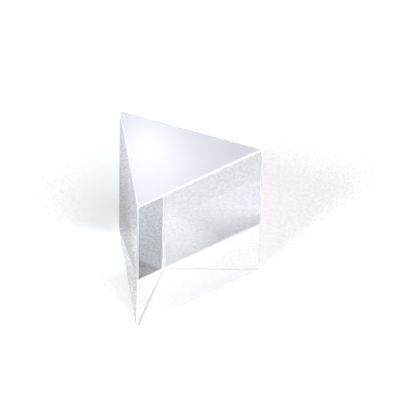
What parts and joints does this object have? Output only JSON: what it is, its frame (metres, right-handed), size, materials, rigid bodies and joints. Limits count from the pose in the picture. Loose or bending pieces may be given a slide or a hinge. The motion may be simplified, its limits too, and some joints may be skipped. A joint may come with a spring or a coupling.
{
  "type": "equilateral prism",
  "caption": "Clear glass prism on an equilateral triangle, with polished sides, fine ground ends and a narrow ground bevel along its edges.",
  "frame": {"origin": "middle of the lower ground end, on the prism's axis", "axes": "+Z along the prism's axis, up to the other ground end; -Y out of one polished side"},
  "size_m": [0.0246, 0.0213, 0.025],
  "materials": {
    "flint_glass": "clear dense flint glass, index about 1.61: polished sides, fine ground ends, bevels and corners"
  },
  "bodies": {
    "root": {"glass_prism": "flint_glass"}
  },
  "joints": []
}
